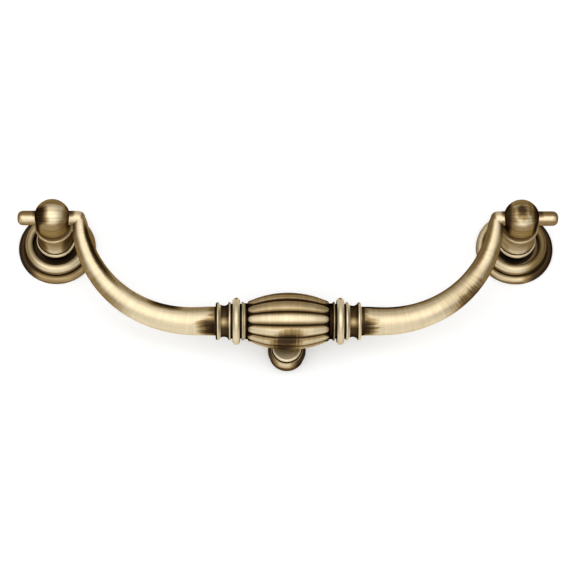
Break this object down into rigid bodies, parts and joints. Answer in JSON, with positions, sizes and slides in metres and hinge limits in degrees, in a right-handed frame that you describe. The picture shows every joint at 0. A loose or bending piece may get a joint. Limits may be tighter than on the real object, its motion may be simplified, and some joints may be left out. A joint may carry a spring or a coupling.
{
  "type": "bail pull",
  "caption": "Drawer pull: a bail with a reeded melon grip swings on pins in ringed posts that stand in round stepped rosettes, and rests on a small round stop button.",
  "frame": {"origin": "midway between the two post screws, in the plane of the drawer front", "axes": "+X along the two posts, +Z out of the drawer front, the bail drops towards -Y"},
  "size_m": [0.1494, 0.0479, 0.0267],
  "materials": {
    "turned_brass": "antique brass, dark brown patina in the grooves, hand relieved on the high spots, satin brushed",
    "cast_brass": "antique brass, dark brown patina beside the collars and in the reeds, hand relieved, satin brushed"
  },
  "bodies": {
    "fixings": {"left_post": "turned_brass", "right_post": "turned_brass", "left_rosette": "turned_brass", "right_rosette": "turned_brass", "stop_button": "turned_brass"},
    "bail": {"bail": "cast_brass"}
  },
  "joints": [
    {"name": "bail_swing", "type": "hinge", "parent": "fixings", "child": "bail", "pos_m": [0, 0, 0.021], "axis": [-1, 0, 0], "range_deg": [0, 220]}
  ]
}
